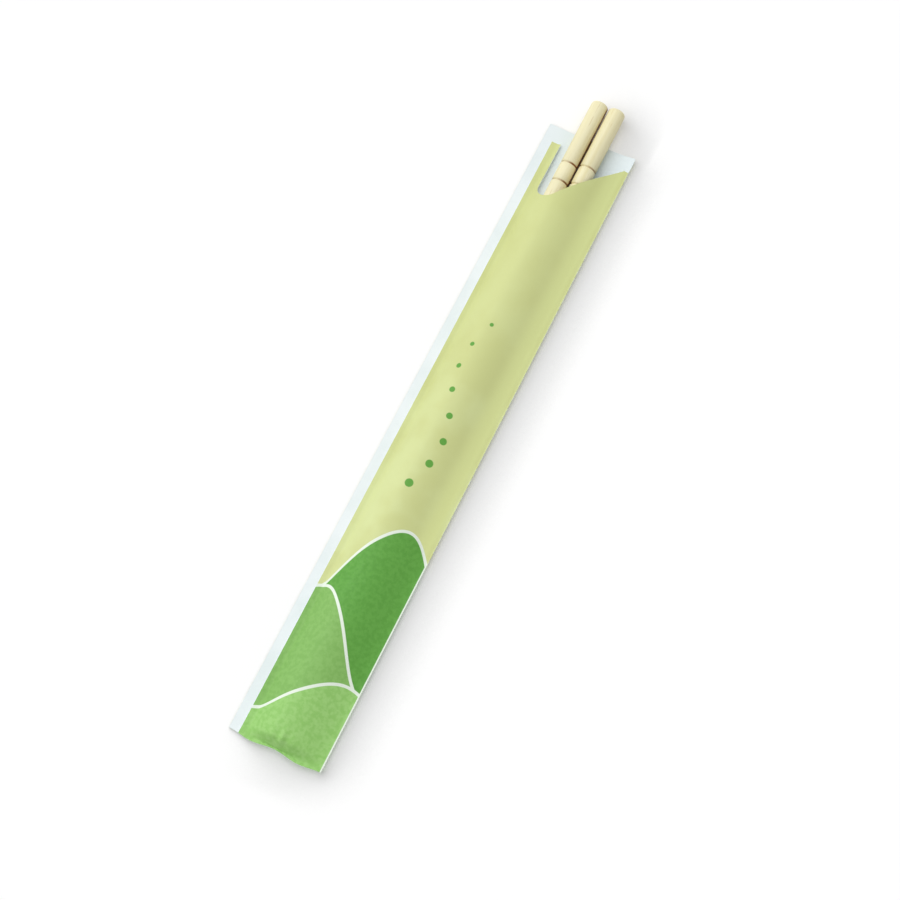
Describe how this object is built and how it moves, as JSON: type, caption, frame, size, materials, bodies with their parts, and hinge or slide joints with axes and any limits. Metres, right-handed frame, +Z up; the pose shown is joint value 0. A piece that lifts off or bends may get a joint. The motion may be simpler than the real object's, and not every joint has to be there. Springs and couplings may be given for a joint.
{
  "type": "bamboo chopsticks",
  "caption": "Round bamboo chopsticks with turned rings near the head, lying side by side in a folded paper sleeve with a notched, slant-cut mouth and a glued closed end.",
  "frame": {"origin": "on the surface the sleeve lies on, under the middle of the overall box", "axes": "+Y along the sleeve from its closed end to the heads of the chopsticks, +X across it from the bare strip to the fold, +Z up from the back panel to the front panel"},
  "size_m": [0.0308, 0.2346, 0.0072],
  "materials": {
    "sleeve_paper": "matte printed paper, white inside",
    "bamboo": "bare turned bamboo, fine lengthwise fibres"
  },
  "bodies": {
    "root": {"paper_sleeve": "sleeve_paper", "left_chopstick": "bamboo", "right_chopstick": "bamboo"}
  },
  "joints": []
}
